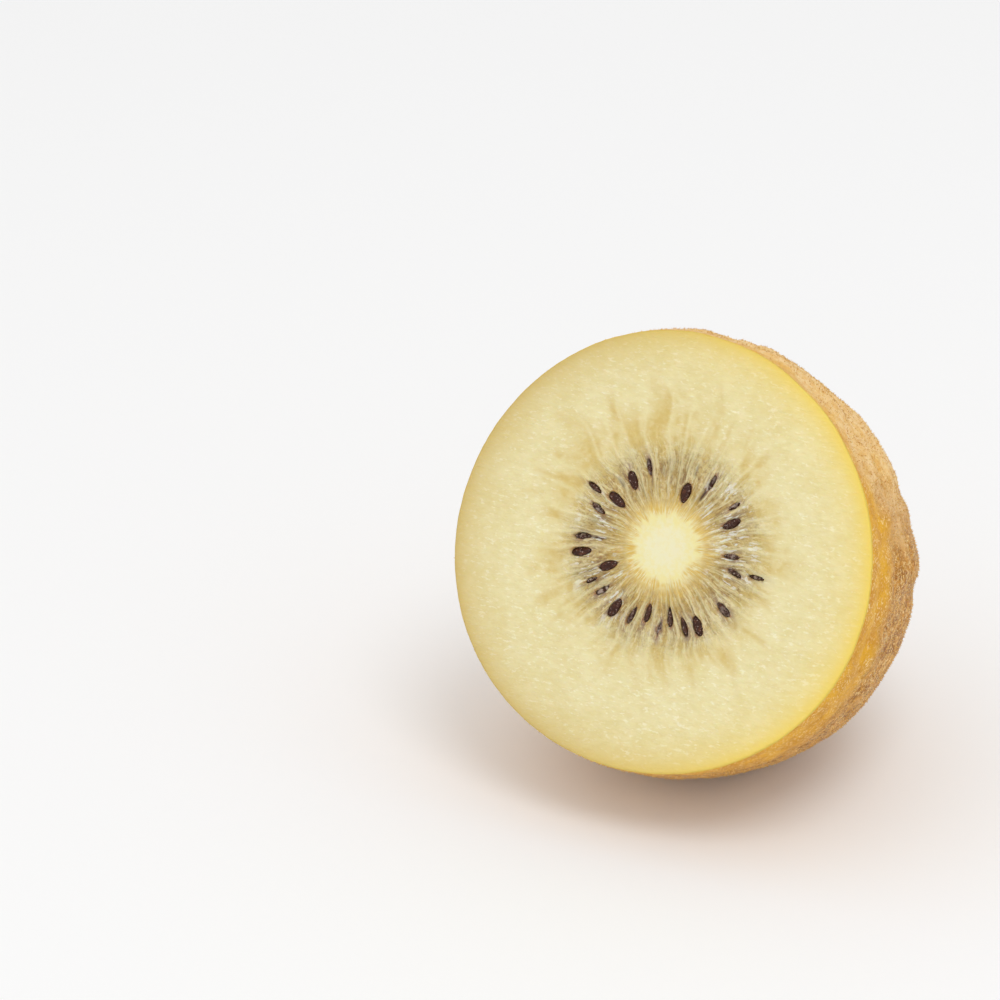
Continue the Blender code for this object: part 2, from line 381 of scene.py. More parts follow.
def carpelMarks(distance, bearing, juicyReach):
    # how much of a seed chamber, of a wall between two and of juicy tan flesh is at each point
    count = fleshSettings["carpels"]
    rng = np.random.default_rng(11)
    wander = fleshSettings["carpelWander"]
    walls = (np.arange(count) + rng.uniform(-wander, wander, count)) * 2.0 * math.pi / count
    reach = rng.uniform(*fleshSettings["chamberReach"], count)
    juicy = rng.uniform(-fleshSettings["juicyWander"], fleshSettings["juicyWander"], count)
    turned = np.mod(bearing - walls[0], 2.0 * math.pi) + walls[0]
    index = np.clip(np.searchsorted(walls, turned, side="right") - 1, 0, count - 1)
    ends = np.append(walls[1:], walls[0] + 2.0 * math.pi)
    width = ends[index] - walls[index]
    across = (turned - walls[index]) / width
    # a chamber narrows from its start to its ragged outer end
    start = fleshSettings["chamberStart"]
    ragged = distance + 1.1 * rayCloud(bearing, distance, 110, 7.0, 23)
    share = np.clip((ragged - start) / (reach[index] - start), 0.0, 1.0)
    narrow = (1.0 - share ** 2.0) ** 0.8
    chamber = ease(-0.25, 0.60, narrow - np.abs(2.0 * across - 1.0)) * ease(4.4, 5.6, distance)
    gap = np.minimum(across, 1.0 - across) * width * distance
    wall = np.exp(-(gap / fleshSettings["wallWidth"]) ** 2)
    wall = wall * ease(5.0, 7.0, distance) * ease(15.5, 11.5, distance)
    # the tan flesh frays out along the rays and is weaker along the walls
    frayed = distance + 2.0 * rayCloud(bearing, distance, 30, 6.0, 41)
    frayed = frayed + 2.4 * rayCloud(bearing, distance, 84, 3.5, 42)
    soak = ease(-1.6, 4.0, juicyReach + juicy[index] - frayed) * ease(4.4, 5.4, distance)
    soak = soak * (1.0 - 0.55 * np.exp(-(gap / 0.28) ** 2) * ease(7.0, 9.0, distance))
    return chamber, wall, soak


def seedOpening(x, y, seed):
    # 1 at the outline of the opening round a seed, less inside, more outside
    along = seed["axes"][:2, 0] / np.linalg.norm(seed["axes"][:2, 0])
    half = seed["half"] * (1.0, seedSettings["slimness"], seedSettings["slimness"])
    width = math.hypot(half[1] * np.linalg.norm(seed["axes"][:2, 1]),
                       half[2] * np.linalg.norm(seed["axes"][:2, 2]))
    u = ((x - seed["middle"][0]) * along[0] + (y - seed["middle"][1]) * along[1]) / half[0]
    v = ((y - seed["middle"][1]) * along[0] - (x - seed["middle"][0]) * along[1]) / width
    return np.hypot(u, v / np.clip(1.0 + seedSettings["taper"] * u, 0.6, 1.4))


def buriedShade(x, y):
    # soft dark strokes of seeds that lie below the cut
    shade = np.zeros_like(x)
    for bearing, distance, length, width, dark in fleshSettings["buriedSeeds"]:
        turn = math.radians(bearing)
        along = x * math.cos(turn) + y * math.sin(turn) - distance
        aside = y * math.cos(turn) - x * math.sin(turn)
        stroke = np.exp(-(along / (0.5 * length)) ** 4 - (aside / (0.5 * width)) ** 2)
        shade = np.maximum(shade, dark * stroke)
    return shade


def seedOpenings(x, y, flat, height):
    # sinks a pocket for each seed, with a raised lip; haze and a thin orange ring lie round them
    haze = np.zeros_like(x)
    orangeRing = np.zeros_like(x)
    for number, seed in enumerate(seeds):
        opening = seedOpening(x, y, seed)
        cover = float(ease(0.10, 0.30, seed["sunk"]))  # flesh laps raggedly over a deep seed
        opening = opening + cover * (0.05 + 0.45 * cloud(flat, 0.42, 50 + number))
        pocket = ease(1.06, 0.90, opening)
        lip = np.exp(-((opening - 1.20) / 0.12) ** 2)
        height = height * (1.0 - pocket) - fleshSettings["pocketDepth"] * pocket
        height = height + fleshSettings["lipHeight"] * lip
        haze = np.maximum(haze, np.exp(-(np.maximum(opening - 0.9, 0.0) / 1.35) ** 2))
        orangeRing = np.maximum(orangeRing, np.exp(-((opening - 1.10) / 0.12) ** 2))
    return height, haze, orangeRing


def cutFields(x, y, rimGap):
    # height of the cut flesh and the marks that its material reads
    distance = np.hypot(x, y)
    level = np.arctan2(y, x)
    flat = np.stack((x, y, np.zeros_like(x)), -1)
    # the rays waver a little
    bearing = level + 0.050 * rayCloud(level, distance, 24, 3.5, 21)
    bearing = bearing + 0.016 * rayCloud(level, distance, 80, 1.8, 22)
    # the tan flesh reaches farthest at the top and on one side
    juicyReach = fleshSettings["juicyReach"] - 0.75 * np.cos(level) + 1.4 * np.sin(level)
    chamber, wall, soak = carpelMarks(distance, bearing, juicyReach)
    edge = fleshSettings["coreRadius"] + 0.25 * rayCloud(level, distance, 18, 9.0, 31)
    edge = edge + fleshSettings["coreTufts"] * rayCloud(bearing, distance, 75, 2.5, 32)
    edge = edge + fleshSettings["coreShift"] * np.cos(level - fleshSettings["coreShiftBearing"])
    core = ease(0.48, -0.38, distance - edge)
    zone = ease(0.0, 3.4, distance - edge) * ease(15.0, 10.0, distance)
    # paler streaks run through the tan flesh
    streak = rayCloud(bearing, distance, 60, 6.0, 43)
    streak = streak + 0.7 * rayCloud(bearing, distance, 120, 4.0, 44) + cloud(flat, 1.0, 45, 2)
    soak = soak * (1.0 - (0.10 + 0.50 * ease(9.0, 12.0, distance)) * ease(0.45, -0.45, streak))
    height = -fleshSettings["sink"] * zone * (0.45 + 0.55 * chamber)
    height = height + fleshSettings["wallHeight"] * wall * zone - 0.05 * soak
    for around, length, pattern, most in fleshSettings["rayRidges"]:
        height = height + most * zone * rayCloud(bearing, distance, around, length, pattern)
    height = height + 0.08 * zone * cloud(flat, 0.7, 34, 2)
    cells = 0.022 * cloud(flat * (0.45, 1.0, 1.0), 0.50, 35, 2) + 0.012 * cloud(flat, 0.5, 38)
    height = height + (1.0 - core) * cells
    height = height + 0.03 * cloud(flat, 3.5, 36)
    height, haze, orangeRing = seedOpenings(x, y, flat, height)
    # where pale glints are painted into the colour as highlights: most on two opposite sides,
    # between the core and the tan flesh
    wet = 0.15 + 0.85 * ease(-0.5, 0.5, np.cos(2.0 * level - 0.65))
    wet = wet * ease(4.8, 6.5, distance) * ease(13.5, 9.5, distance)
    marks = {"wall": wall, "core": core, "zone": zone, "haze": haze, "orangeRing": orangeRing,
             "soak": soak, "wet": wet, "buried": buriedShade(x, y), "rimGap": rimGap,
             "distance": distance, "rayX": np.cos(bearing), "rayY": np.sin(bearing)}
    return height, marks


def makeFlesh(material):
    spokes = fleshSettings["spokes"]
    bearing = np.linspace(0.0, 2.0 * math.pi, spokes, endpoint=False)
    rim, _ = fruitSurface(0.0, bearing, fleshSettings["skinGap"])
    radii = [0.0]
    for limit, step in fleshSettings["ringSteps"]:
        while radii[-1] < limit - 0.5 * step:
            radii.append(radii[-1] + step)
    shares = np.array(radii[1:]) / radii[-1]
    x = shares[:, None] * rim[None, :, 0]
    y = shares[:, None] * rim[None, :, 1]
    rimGap = (1.0 - shares)[:, None] * np.hypot(rim[:, 0], rim[:, 1])[None, :]
    height, marks = cutFields(x, y, rimGap)
    face = np.stack((x, y, height * ease(0.0, 0.5, rimGap)), -1)
    # the edge laps over the skin's end, and the rest lies inside the skin
    edgeInset = fleshSettings["skinThickness"] + fleshSettings["edgeClearance"]
    sideDepths = evenDepths(fleshSettings["sideRings"])[1:]
    depths = np.concatenate((fleshSettings["edgeDepths"], sideDepths))
    insets = np.full(len(depths), fleshSettings["hiddenInset"])
    insets[:3] = (fleshSettings["skinGap"], edgeInset, edgeInset)
    side, _ = fruitSurface(depths[:, None], bearing[None, :], insets[:, None])
    end, _ = fruitSurface(np.array([endDepth]), np.array([0.0]), fleshSettings["hiddenInset"])
    points = np.concatenate((face.reshape(-1, 3), side.reshape(-1, 3), [[0.0, 0.0, 0.0]], end))
    rings = len(shares) + len(depths)
    faces = ringFaces(rings, spokes)
    faces += fanFaces(rings * spokes, 0, spokes, True)
    faces += fanFaces(rings * spokes + 1, (rings - 1) * spokes, spokes, False)
    filled = {}
    for name, values in marks.items():
        filled[name] = np.concatenate((values.ravel(), np.zeros(len(points) - x.size)))
    filled["core"][rings * spokes] = 1.0
    filled["rayX"][x.size:] = 1.0
    flesh = meshObject("golden_flesh", points, faces, material, marks=filled)
    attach(flesh, "root")
    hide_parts("fruit_half")
    return flesh


def outerFleshColour(tree, tone, place, rayY):
    # a close mottle of cells, drawn out a little sideways, with paler flecks and dashes that are
    # painted highlights of the wet cells
    def drawnOut(size, detail, rough, stretch, low, high, most=1.0):
        cells = grain(tree, place, size, detail, rough, (stretch, 1.0, 1.0))
        return span(tree, cells, low, high, 0.0, most)

    cells = drawnOut(0.8, 4.0, 0.65, 0.55, 0.34, 0.66)
    broad = span(tree, grain(tree, place, 4.0, 3.0, 0.6), 0.35, 0.65)
    mottle = sums(tree, "ADD", sums(tree, "MULTIPLY", cells, 0.5),
                  sums(tree, "MULTIPLY", broad, 0.4))
    colour = blendColours(tree, mottle, tone["pale"], tone["deep"])
    dull = drawnOut(0.45, 3.0, 0.6, 0.40, 0.44, 0.34, 0.45)
    colour = blendColours(tree, dull, colour, tone["deep"])
    # painted highlights: pale flecks and dashes stand for glints on the wet cells, with more of the
    # dashes towards the bottom
    glintFlecks = drawnOut(0.34, 2.0, 0.6, 0.45, 0.56, 0.72, 0.75)
    colour = blendColours(tree, glintFlecks, colour, tone["fleck"])
    glintDashes = drawnOut(0.55, 3.0, 0.6, 0.40, 0.62, 0.70, 0.75)
    glintDashes = sums(tree, "MULTIPLY", glintDashes, span(tree, rayY, 0.3, -0.6, 0.5, 1.0))
    return blendColours(tree, glintDashes, colour, tone["fleck"])


def fleshMaterial():
    tone = tones(fleshSettings)
    material, tree, shader = startMaterial("moist golden flesh")
    place = objectPlace(tree)
    distance = mark(tree, "distance")
    zone = mark(tree, "zone")
    wet = mark(tree, "wet")
    rayX, rayY = mark(tree, "rayX"), mark(tree, "rayY")

    def rays(scale, detail, low, high, toLow=0.0, toHigh=1.0, length=0.018):
        # noise drawn out along the radius
        ring = addNode(tree, "ShaderNodeCombineXYZ", {
            0: rayX, 1: rayY, 2: sums(tree, "MULTIPLY", distance, length)}).outputs[0]
        made = addNode(tree, "ShaderNodeTexNoise", {"Vector": ring, "Scale": scale,
                                                    "Detail": detail, "Roughness": 0.6})
        return span(tree, made.outputs["Fac"], low, high, toLow, toHigh)

    def times(*values):
        product = values[0]
        for value in values[1:]:
            product = sums(tree, "MULTIPLY", product, value)
        return product

    def rayLayer(colour, name, more=1.0):
        scale, detail, low, high, most, length, fadeIn, fadeOut = fleshSettings["rayLayers"][name]
        share = times(rays(scale, detail, low, high, 0.0, most, length),
                      span(tree, distance, *fadeIn), span(tree, distance, *fadeOut), more)
        return blendColours(tree, share, colour, tone[name])

    colour = outerFleshColour(tree, tone, place, rayY)
    # yellow band under the skin, strongest on one side: painted light makes it bright yellow on the
    # lit side and painted shade makes it tan on the other
    rim = sums(tree, "EXPONENT", sums(tree, "MULTIPLY", mark(tree, "rimGap"), -0.42))
    side = span(tree, sums(tree, "MULTIPLY_ADD", rayY, 0.12, rayX), -0.7, 0.8)
    rimColour = blendColours(tree, side, tone["rimTanShaded"], tone["rimYellowLit"])
    colour = blendColours(tree, times(rim, 0.97), colour, rimColour)
    # tan and juicy outside the seeds, a little duller between them
    tan = blendColours(tree, span(tree, distance, 8.0, 12.0), tone["chamberBeige"],
                       tone["chamberTan"])
    mottled = span(tree, grain(tree, place, 0.7, 4.0, 0.65), 0.3, 0.6, 0.7, 1.0)
    colour = blendColours(tree, times(mark(tree, "soak"), mottled, 0.95), colour, tan)
    # golden fibres leave the core
    gold = times(rays(34.0, 4.0, 0.38, 0.58), span(tree, distance, 5.0, 9.0, 0.95, 0.0),
                 span(tree, grain(tree, place, 1.6, 3.0), 0.36, 0.58, 0.45, 1.0))
    colour = blendColours(tree, gold, colour, tone["fibreGold"])
    haze = times(mark(tree, "haze"), rays(14.0, 4.0, 0.40, 0.62, 0.0, 0.85),
                 span(tree, distance, 6.0, 8.0), span(tree, distance, 12.2, 10.2, 0.35, 1.0))
    colour = blendColours(tree, haze, colour, tone["haze"])
    # small wet cells, dull and bright, between the rays
    cells = grain(tree, place, 0.55, 4.0, 0.65)
    inCells = times(span(tree, distance, 5.2, 7.0), span(tree, distance, 13.0, 10.0))
    dull = times(span(tree, cells, 0.47, 0.36, 0.0, 0.55), inCells)
    colour = blendColours(tree, dull, colour, tone["darkRay"])
    for name in ("darkRay", "lightRay", "thread"):
        colour = rayLayer(colour, name)
    bright = times(span(tree, cells, 0.55, 0.66, 0.0, 0.7), inCells)
    colour = blendColours(tree, bright, colour, tone["lightRay"])
    walls = times(mark(tree, "wall"), span(tree, distance, 12.5, 9.0, 0.35, 0.75))
    colour = blendColours(tree, walls, colour, tone["lightRay"])
    colour = rayLayer(colour, "ember", span(tree, rayY, 0.3, -0.4, 0.12, 1.0))
    colour = blendColours(tree, mark(tree, "buried"), colour, tone["seedShadow"])
    # a thin orange-brown ring at each seed's opening
    orangeRing = times(mark(tree, "orangeRing"), 0.5, rays(20.0, 2.0, 0.4, 0.6))
    colour = blendColours(tree, orangeRing, colour, tone["orangeRing"])
    # painted highlights: pale glints near the seeds, where the wet mark allows them
    glint = times(rays(22.0, 3.0, 0.54, 0.60, 0.0, 0.95, 0.028), wet,
                  span(tree, grain(tree, place, 2.2, 2.0), 0.44, 0.52))
    colour = blendColours(tree, glint, colour, tone["glint"])
    granules = span(tree, grain(tree, place, 0.5, 3.0, 0.65), 0.35, 0.65, -0.35, 0.35)
    coreShare = sums(tree, "ADD", span(tree, distance, 1.0, 4.6), granules, clamp=True)
    coreColour = blendColours(tree, coreShare, tone["coreCream"], tone["coreEdge"])
    colour = blendColours(tree, mark(tree, "core"), colour, coreColour)
    tree.links.new(colour, shader.inputs["Base Color"])
    fine = sums(tree, "ADD", grain(tree, place, 0.45, 3.0, 0.6, (0.4, 1.0, 1.0)),
                times(rays(50.0, 3.0, 0.2, 0.8, 0.0, 1.6, 0.035), zone))
    smoothCore = sums(tree, "MULTIPLY_ADD", mark(tree, "core"), -0.6, 0.8)
    bump = addNode(tree, "ShaderNodeBump", {"Strength": smoothCore, "Distance": 0.00018,
                                            "Height": fine})
    tree.links.new(bump.outputs[0], shader.inputs["Normal"])
    tree.links.new(span(tree, zone, 0.0, 1.0, 0.42, 0.24), shader.inputs["Roughness"])
    shader.inputs["Subsurface Weight"].default_value = 0.30
    shader.inputs["Subsurface Radius"].default_value = (1.0, 0.72, 0.28)
    shader.inputs["Subsurface Scale"].default_value = 0.25 * mm
    shader.inputs["Coat Weight"].default_value = 0.22
    shader.inputs["Coat Roughness"].default_value = 0.12
    return material


skinSettings = {
    "spokes": 540,
    "rings": 140,
    "innerRings": 10,
    "firstDepth": 0.12,
    "hiddenThickness": 0.9,   # away from the cut, where nobody sees how thin it is
    "lipStep": 0.05,          # from the outer to the inner edge beside the cut
    "thinDepth": 0.6,         # the skin stays thin from the cut to here
    "pores": 0.04,            # height of the fine leathery grain
    "poreSize": 0.75,
    "goldenBearing": -0.30,   # middle of the side where a smooth golden band follows the cut
    "goldenSpread": (1.05, 0.4),      # none beyond the first, in full within the second
    "bandWidth": (0.5, 6.4),  # all round, and what the golden side adds
    "bandWaver": 1.2,
    "bareReach": 4.0,         # how much farther the band runs at bare places
    "bareSpots": 0.5,         # how smooth the spots among the hairs are
    # the brown low down is partly painted shade from above
    "brownLevels": (0.70, 0.05),      # tan above the first and brown below the second
    "brownFar": 0.60,         # how brown the far side gets
    "golden": (212, 146, 4),
    "goldenLight": (232, 172, 24),
    "tan": (250, 216, 156),
    "tanDark": (240, 190, 106),
    "brown": (146, 84, 14),
    "brownLight": (210, 146, 50),
    "speck": (252, 222, 158),
    "fleck": (158, 92, 22),
    "rim": (238, 206, 104),
}


def skinPatches(point, depth, bearing):
    # felt: 0 where the skin is smooth and golden; the brown mark: 0 pale tan to 1 warm brown,
    # browner low down, partly the skin's own colour and partly painted shade from above
    turn = bearing - skinSettings["goldenBearing"]
    away = np.abs(np.mod(turn + math.pi, 2.0 * math.pi) - math.pi)
    away = away + 0.5 * cloud(point, 6.0, 61, 2)
    narrow, added = skinSettings["bandWidth"]
    band = narrow + added * ease(*skinSettings["goldenSpread"], away)
    band = band + skinSettings["bandWaver"] * cloud(point, 3.5, 64, 2)
    bare = ease(0.35, 0.7, cloud(point, 15.0, 65, 2)) * ease(1.2, 1.8, away)
    band = band + skinSettings["bareReach"] * bare
    spots = skinSettings["bareSpots"] * ease(0.35, 0.75, cloud(point, 6.0, 62, 2))
    felt = ease(-2.2, 3.0, depth - band) * (1.0 - spots)
    # paler tan on top and browner low down: partly the skin's own colour, partly painted shade
    upper = point[..., 1] / fruitRadius
    brownAndShade = ease(*skinSettings["brownLevels"], upper + 0.22 * cloud(point, 9.0, 63, 3))
    far = skinSettings["brownFar"]
    brownAndShade = brownAndShade * (far + (1.0 - far) * ease(1.35, 0.85, away))
    return felt, brownAndShade


def makeSkin(material):
    spokes = skinSettings["spokes"]
    bearing = np.linspace(0.0, 2.0 * math.pi, spokes, endpoint=False)
    depths = evenDepths(skinSettings["rings"], skinSettings["firstDepth"])
    outer, outward = fruitSurface(depths[:, None], bearing[None, :])
    grainHeight = skinSettings["pores"] * cloud(outer, skinSettings["poreSize"], 71, 2)
    outer = keepAboveTable(outer + outward * grainHeight[..., None])
    felt, brownAndShade = skinPatches(outer, depths[:, None], bearing[None, :])
    thickness = fleshSettings["skinThickness"]
    innerFirst = skinSettings["firstDepth"] + skinSettings["lipStep"]
    innerDepths = evenDepths(skinSettings["innerRings"], innerFirst)[::-1]
    innerDepths = np.concatenate((innerDepths[:-1], [skinSettings["thinDepth"]],
                                  innerDepths[-1:]))
    insets = np.full(len(innerDepths), skinSettings["hiddenThickness"])
    insets[-2:] = thickness
    inner, _ = fruitSurface(innerDepths[:, None], bearing[None, :], insets[:, None])
    lip = 0.5 * (inner[-1] + outer[0])
    ends, _ = fruitSurface(np.array([endDepth, endDepth]), np.array([0.0, 0.0]),
                           np.array([skinSettings["hiddenThickness"], 0.0]))
    points = np.concatenate((inner.reshape(-1, 3), lip, outer.reshape(-1, 3), ends))
    rings = len(innerDepths) + 1 + len(depths)
    faces = ringFaces(rings, spokes)
    faces += fanFaces(rings * spokes, 0, spokes, True)
    faces += fanFaces(rings * spokes + 1, (rings - 1) * spokes, spokes, False)
    hidden = np.zeros((len(innerDepths) + 1) * spokes)
    marks = {"felt": np.concatenate((hidden, felt.ravel(), [0.0, 0.6])),
             "brownAndShade": np.concatenate((hidden, brownAndShade.ravel(), [0.5, 0.5])),
             "depth": np.concatenate((hidden, np.repeat(depths, spokes), [0.0, endDepth]))}
    skin = meshObject("kiwi_skin", points, faces, material, marks=marks)
    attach(skin, "root")
    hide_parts("fruit_half")
    return skin


def skinMaterial():
    tone = tones(skinSettings)
    material, tree, shader = startMaterial("fuzzy golden skin")
    place = objectPlace(tree)
    golden = blendColours(tree, span(tree, grain(tree, place, 2.5, 4.0), 0.35, 0.65),
                          tone["golden"], tone["goldenLight"])
    mottle = span(tree, grain(tree, place, 1.6, 5.0, 0.65), 0.36, 0.64)
    tan = blendColours(tree, mottle, tone["tanDark"], tone["tan"])
    brown = blendColours(tree, mottle, tone["brown"], tone["brownLight"])
    # tan to brown by the brown mark, browner low down partly as painted shade
    felted = blendColours(tree, mark(tree, "brownAndShade"), tan, brown)
    felt = sums(tree, "MULTIPLY", mark(tree, "felt"),
                span(tree, grain(tree, place, 0.5, 3.0, 0.7), 0.25, 0.55, 0.5, 1.0))
    colour = blendColours(tree, felt, golden, felted)
    # pale specks and tufts of fuzz, and small dark pits
    specks = span(tree, grain(tree, place, 0.30, 2.0, 0.6), 0.54, 0.63)
    specks = sums(tree, "MULTIPLY", specks, span(tree, mark(tree, "brownAndShade"), 0.7, 1.0, 0.8, 1.1))
    clusters = span(tree, grain(tree, place, 2.2, 2.0), 0.35, 0.65, 0.25, 0.90)
    colour = blendColours(tree, sums(tree, "MULTIPLY", specks, clusters), colour, tone["speck"])
    tufts = span(tree, grain(tree, place, 0.45, 2.0, 0.6), 0.55, 0.63, 0.0, 0.55)
    tufts = sums(tree, "MULTIPLY", tufts, span(tree, mark(tree, "brownAndShade"), 0.62, 1.0))
    tufts = sums(tree, "MULTIPLY", tufts, mark(tree, "felt"))
    colour = blendColours(tree, tufts, colour, tone["speck"])
    pits = span(tree, grain(tree, place, 0.26, 2.0, 0.6), 0.40, 0.30, 0.0, 0.35)
    colour = blendColours(tree, pits, colour, tone["fleck"])
    colour = blendColours(tree, span(tree, mark(tree, "depth"), 0.35, 0.14), colour, tone["rim"])
    tree.links.new(colour, shader.inputs["Base Color"])
    bumpHeight = sums(tree, "ADD", grain(tree, place, 0.20, 3.0, 0.6), grain(tree, place, 0.7, 2.0))
    bump = addNode(tree, "ShaderNodeBump", {"Strength": 0.7, "Distance": 0.00012,
                                            "Height": bumpHeight})
    tree.links.new(bump.outputs[0], shader.inputs["Normal"])
    shader.inputs["Roughness"].default_value = 0.5
    shader.inputs["Specular IOR Level"].default_value = 0.25
    shader.inputs["Subsurface Weight"].default_value = 0.15
    shader.inputs["Subsurface Radius"].default_value = (1.0, 0.6, 0.2)
    shader.inputs["Subsurface Scale"].default_value = 0.5 * mm
    return material


fuzzSettings = {
    "hairs": 26000,
    "length": (0.12, 0.30),
    "root": 0.065,            # half width of a hair at the skin
    "lean": (0.1, 1.3),
    "combSize": 5.0,          # patches this large are combed one way
    "combTurn": 1.3 * math.pi,
    "combStray": 0.8,
    "rootVaries": (0.6, 1.3),
    "sunk": 0.03,
    "onSmoothSkin": 0.05,     # how many stand there, against felted skin
    "light": (255, 220, 142),
    "dark": (214, 150, 66),
}


def makeFuzz(material):
    rng = np.random.default_rng(23)
    count = 4 * fuzzSettings["hairs"]  # tried places, of which enough are kept
    depths = evenDepths(800)
    depth = np.interp(rng.random(count) * (len(depths) - 1), np.arange(len(depths)), depths)
    bearing = rng.random(count) * 2.0 * math.pi
    point, outward = fruitSurface(depth, bearing)
    felt, _ = skinPatches(point, depth, bearing)
    keep = rng.random(count) < profileRadius(depth) / fruitRadius
    bare = fuzzSettings["onSmoothSkin"]
    keep &= rng.random(count) < (bare + (1.0 - bare) * felt) * ease(0.2, 0.8, depth)
    chosen = np.flatnonzero(keep)[:fuzzSettings["hairs"]]
    point, outward, bearing = point[chosen], outward[chosen], bearing[chosen]
    count = len(chosen)
    around = np.stack((-np.sin(bearing), np.cos(bearing), np.zeros(count)), -1)
    down = np.cross(around, outward)
    comb = fuzzSettings["combTurn"] * cloud(point, fuzzSettings["combSize"], 81, 2)
    comb = comb + rng.normal(0.0, fuzzSettings["combStray"], count)
    lean = rng.uniform(*fuzzSettings["lean"], count)[:, None]
    tangent = np.cos(comb)[:, None] * down + np.sin(comb)[:, None] * around
    way = outward + lean * tangent
    way /= np.linalg.norm(way, axis=1, keepdims=True)
    length = rng.uniform(*fuzzSettings["length"], count)[:, None]
    side = np.cross(way, outward)
    side /= np.linalg.norm(side, axis=1, keepdims=True)
    other = np.cross(way, side)
    root = fuzzSettings["root"] * rng.uniform(*fuzzSettings["rootVaries"], count)[:, None]
    base = point - fuzzSettings["sunk"] * outward
    corners = [base + root * (math.cos(turn) * side + math.sin(turn) * other)
               for turn in (0.0, 2.0 * math.pi / 3.0, 4.0 * math.pi / 3.0)]
    tip = base + length * way + 0.02 * outward
    points = keepAboveTable(np.stack((*corners, tip), 1).reshape(-1, 3))
    first = 4 * np.arange(count)[:, None]
    faces = np.concatenate((first + (0, 2, 1), first + (0, 1, 3), first + (1, 2, 3),
                            first + (2, 0, 3)), 1).reshape(-1, 3)
    tone = np.repeat(rng.random(count), 4)
    fuzz = meshObject("skin_fuzz", points, faces.tolist(), material, marks={"tone": tone})
    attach(fuzz, "root")
    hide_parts("fruit_half")
    return fuzz


def fuzzMaterial():
    material, tree, shader = startMaterial("short tan hairs")
    tone = sums(tree, "ADD", mark(tree, "tone"),
                sums(tree, "SUBTRACT", grain(tree, objectPlace(tree), 3.0), 0.5))
    colour = blendColours(tree, tone, linear(*fuzzSettings["dark"]), linear(*fuzzSettings["light"]))
    tree.links.new(colour, shader.inputs["Base Color"])
    shader.inputs["Roughness"].default_value = 0.5
    shader.inputs["Specular IOR Level"].default_value = 0.25
    return material


seedSettings = {
    "sides": 40,
    "rings": 30,
    "taper": 0.12,
    "slimness": 0.90,         # width and thickness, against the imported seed's
    "pitSize": 0.20,
    "pitDepth": 0.05,
    "dark": (52, 22, 10),
    "brown": (96, 54, 34),
    "shine": (186, 164, 154),
    "film": (190, 174, 160),
}


def makeSeed(facts, number, material):
    sides, rings = seedSettings["sides"], seedSettings["rings"]
    turn = np.linspace(0.0, 2.0 * math.pi, sides, endpoint=False)[None, :]
    pole = (np.arange(1, rings + 1) / (rings + 1) * math.pi)[:, None]
    unit = np.stack(np.broadcast_arrays(-np.cos(pole), np.sin(pole) * np.cos(turn),
                                        np.sin(pole) * np.sin(turn)), -1).reshape(-1, 3)
    unit = np.concatenate((unit, [[-1.0, 0.0, 0.0], [1.0, 0.0, 0.0]]))
    narrowing = (1.0 + seedSettings["taper"] * unit[:, 0]) * seedSettings["slimness"]
    shape = unit * facts["half"]
    shape[:, 1] *= narrowing
    shape[:, 2] *= narrowing
    pits = cloud(shape * (0.6, 1.0, 1.0) + 9.0 * number, seedSettings["pitSize"], 91)
    pits = np.minimum(pits, 0.25) - 0.25
    shape = shape + unit * (seedSettings["pitDepth"] * pits)[:, None]
    points = facts["middle"] + shape @ facts["axes"].T
    faces = ringFaces(rings, sides)
    faces += fanFaces(rings * sides, 0, sides, True)
    faces += fanFaces(rings * sides + 1, (rings - 1) * sides, sides, False)
    faces = [face[::-1] for face in faces]
    covered = float(ease(0.05, 0.30, facts["sunk"]))
    seed = meshObject("wet_" + facts["name"], points, faces, material,
                      marks={"pit": np.clip(-4.0 * pits, 0.0, 1.0),
                             "covered": np.full(len(points), covered)})
    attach(seed, "root")
    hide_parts(facts["name"])
    return seed


def seedMaterial():
    tone = tones(seedSettings)
    material, tree, shader = startMaterial("wet dark seed")
    place = objectPlace(tree)
    blotch = span(tree, grain(tree, place, 0.45, 3.0, 0.6), 0.35, 0.7)
    # darker in the seed's dents: painted shade in the pits
    lightness = sums(tree, "MULTIPLY", blotch, span(tree, mark(tree, "pit"), 0.0, 1.0, 0.9, 0.2))
    colour = blendColours(tree, lightness, tone["dark"], tone["brown"])
    shine = span(tree, grain(tree, place, 0.20, 3.0, 0.6), 0.60, 0.66, 0.0, 0.7)
    colour = blendColours(tree, shine, colour, tone["shine"])
    film = sums(tree, "MULTIPLY", mark(tree, "covered"),
                span(tree, grain(tree, place, 0.40, 3.0, 0.65), 0.46, 0.62, 0.0, 0.85))
    colour = blendColours(tree, film, colour, tone["film"])
    tree.links.new(colour, shader.inputs["Base Color"])
    bump = addNode(tree, "ShaderNodeBump", {"Strength": 0.8, "Distance": 0.00007,
                                            "Height": grain(tree, place, 0.13, 2.0)})
    tree.links.new(bump.outputs[0], shader.inputs["Normal"])
    shader.inputs["Roughness"].default_value = 0.32
    shader.inputs["Specular IOR Level"].default_value = 0.25
    return material


flesh = makeFlesh(fleshMaterial())
print("flesh made,", len(flesh.data.polygons), "faces")
skin = makeSkin(skinMaterial())
print("skin made,", len(skin.data.polygons), "faces")
fuzz = makeFuzz(fuzzMaterial())
print("fuzz made,", len(fuzz.data.polygons), "faces")
wetSeed = seedMaterial()
for number, facts in enumerate(seeds):
    makeSeed(facts, number, wetSeed)
print("seeds made")


